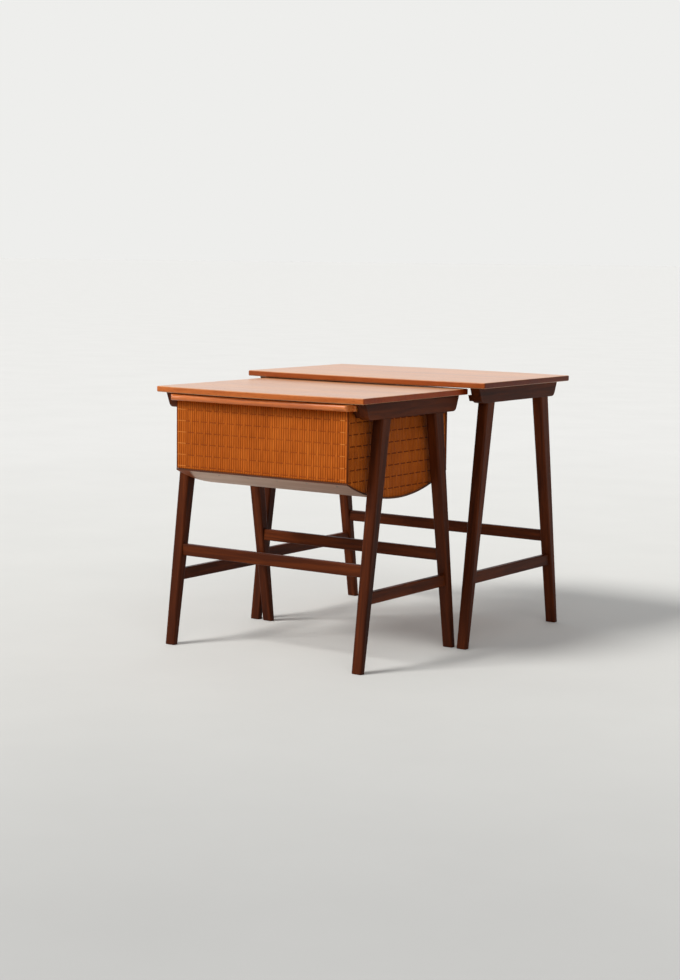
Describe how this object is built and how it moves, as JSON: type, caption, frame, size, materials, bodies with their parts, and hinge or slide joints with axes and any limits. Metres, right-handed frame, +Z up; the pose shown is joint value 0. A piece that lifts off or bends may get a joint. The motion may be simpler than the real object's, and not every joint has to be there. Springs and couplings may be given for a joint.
{
  "type": "nesting tables",
  "caption": "Set of two nesting side tables: thin bowed tops on splayed tapered legs, the small one sliding under the large one and holding a pull-out woven basket.",
  "frame": {"origin": "on the floor, below the middle of the whole set with the small table pulled out in front of the large one and the basket pushed in", "axes": "+X along the long side of the tops, to the right seen from the front; -Y is the front; +Z up"},
  "size_m": [0.571, 0.7171, 0.52],
  "materials": {
    "teak": "oiled teak, satin, grain along the long side",
    "teak_frame": "oiled teak, satin",
    "dark_wood": "dark stained beech, satin lacquer",
    "woven_splint": "woven wood splint, aged orange brown, satin",
    "plywood": "thin plywood, greyish brown, matt",
    "beech": "plain beech, matt",
    "steel": "plain steel screws and tacks"
  },
  "bodies": {
    "large_table": {"large_apron_left": "dark_wood", "large_apron_right": "dark_wood", "large_back_stretcher": "dark_wood", "large_ledge_left": "dark_wood", "large_ledge_right": "dark_wood", "large_ledge_screws": "steel", "large_leg_back_left": "dark_wood", "large_leg_back_right": "dark_wood", "large_leg_dowels": "beech", "large_leg_front_left": "dark_wood", "large_leg_front_right": "dark_wood", "large_side_stretcher_left": "dark_wood", "large_side_stretcher_right": "dark_wood", "large_top": "teak", "large_top_screws": "steel"},
    "small_table": {"small_apron_left": "dark_wood", "small_apron_right": "dark_wood", "small_back_stretcher": "dark_wood", "small_front_stretcher": "dark_wood", "small_ledge_left": "dark_wood", "small_ledge_right": "dark_wood", "small_ledge_screws": "steel", "small_leg_back_left": "dark_wood", "small_leg_back_right": "dark_wood", "small_leg_dowels": "beech", "small_leg_front_left": "dark_wood", "small_leg_front_right": "dark_wood", "small_side_stretcher_left": "dark_wood", "small_side_stretcher_right": "dark_wood", "small_top": "teak", "small_top_screws": "steel"},
    "basket": {"basket_back_rail": "teak_frame", "basket_back_wall": "woven_splint", "basket_bottom": "plywood", "basket_bottom_tacks": "steel", "basket_cross_batten_back": "beech", "basket_cross_batten_front": "beech", "basket_front_rail": "teak_frame", "basket_front_wall": "woven_splint", "basket_post_back_left": "beech", "basket_post_back_right": "beech", "basket_post_front_left": "beech", "basket_post_front_right": "beech", "basket_rib_left": "beech", "basket_rib_right": "beech", "basket_runner_left": "teak_frame", "basket_runner_right": "teak_frame", "basket_side_wall_left": "woven_splint", "basket_side_wall_right": "woven_splint"}
  },
  "joints": [
    {"name": "small_table_slide", "type": "slide", "parent": "large_table", "child": "small_table", "axis": [0, 1, 0], "range_m": [-0.3, 0.3368]},
    {"name": "basket_slide", "type": "slide", "parent": "small_table", "child": "basket", "axis": [0, -1, 0], "range_m": [0, 0.23]}
  ]
}
